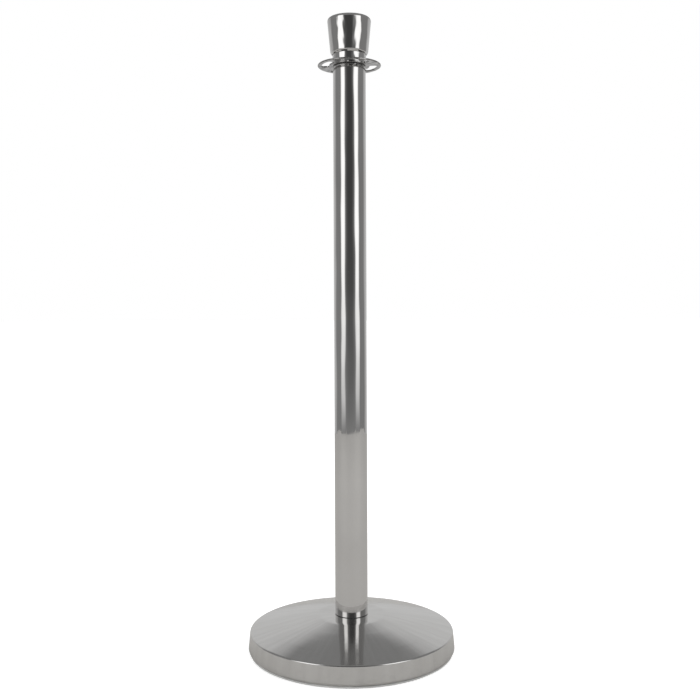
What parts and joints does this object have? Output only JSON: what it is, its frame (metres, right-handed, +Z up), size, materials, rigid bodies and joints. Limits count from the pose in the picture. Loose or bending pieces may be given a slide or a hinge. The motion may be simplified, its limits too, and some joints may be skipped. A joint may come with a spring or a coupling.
{
  "type": "rope barrier post",
  "caption": "Free-standing rope barrier post: weighted dome base, polished tube, swivelling slotted rope ring and a flared crown that screws on.",
  "frame": {"origin": "on the floor, at the centre of the base", "axes": "+Z up along the post's axis; +X to the right and -Y towards the viewer in the reference view"},
  "size_m": [0.3192, 0.3192, 0.985],
  "materials": {
    "polished_tube": "mirror-polished stainless tube",
    "polished_head": "mirror-polished stainless, spun or turned",
    "polished_ring": "polished, a little duller than the tube",
    "satin_cover": "spun sheet, polished with a faint circular grain",
    "cast_iron": "raw sand casting, dark paint",
    "rubber": "moulded grey rubber",
    "zinc_plate": "zinc-plated steel hardware",
    "turned_steel": "plain turned steel",
    "turned_alloy": "turned aluminium",
    "black_nylon": "black nylon"
  },
  "bodies": {
    "base": {"floor_ring": "rubber", "base_weight": "cast_iron", "base_cover": "satin_cover", "base_nut": "zinc_plate", "nut_retainer": "zinc_plate", "retainer_screws": "zinc_plate"},
    "foot_seal": {"foot_gasket": "black_nylon"},
    "post": {"post_tube": "polished_tube", "tube_bottom_plug": "turned_steel", "foot_stud": "zinc_plate", "foot_lock_washer": "zinc_plate", "foot_nut": "zinc_plate", "tube_top_plug": "polished_head", "ring_washer_lower": "black_nylon", "ring_washer_upper": "black_nylon", "neck_collar": "polished_head", "head_stud": "zinc_plate", "head_lock_washer": "zinc_plate", "head_nut": "zinc_plate"},
    "ring": {"rope_ring": "polished_ring", "ring_bush": "black_nylon"},
    "crown_seat": {"crown_washer": "black_nylon"},
    "crown": {"crown_shell": "polished_head", "crown_insert": "turned_alloy"}
  },
  "joints": [
    {"name": "post_lift", "type": "slide", "parent": "base", "child": "foot_seal", "axis": [0, 0, 1], "range_m": [0, 0.0131]},
    {"name": "post_turn", "type": "hinge", "parent": "foot_seal", "child": "post", "pos_m": [0, 0, 0.0556], "axis": [0, 0, 1], "range_deg": [0, 2340]},
    {"name": "ring_swivel", "type": "hinge", "parent": "post", "child": "ring", "pos_m": [0, 0, 0.90735], "axis": [0, 0, 1], "continuous": true},
    {"name": "crown_lift", "type": "slide", "parent": "post", "child": "crown_seat", "axis": [0, 0, 1], "range_m": [0, 0.0176]},
    {"name": "crown_turn", "type": "hinge", "parent": "crown_seat", "child": "crown", "pos_m": [0, 0, 0.9295], "axis": [0, 0, 1], "range_deg": [0, 3600]}
  ],
  "couplings": [
    {"joint": "post_lift", "follows": "post_turn", "m_per_rad": 0.00031831},
    {"joint": "crown_lift", "follows": "crown_turn", "m_per_rad": 0.00027852}
  ]
}
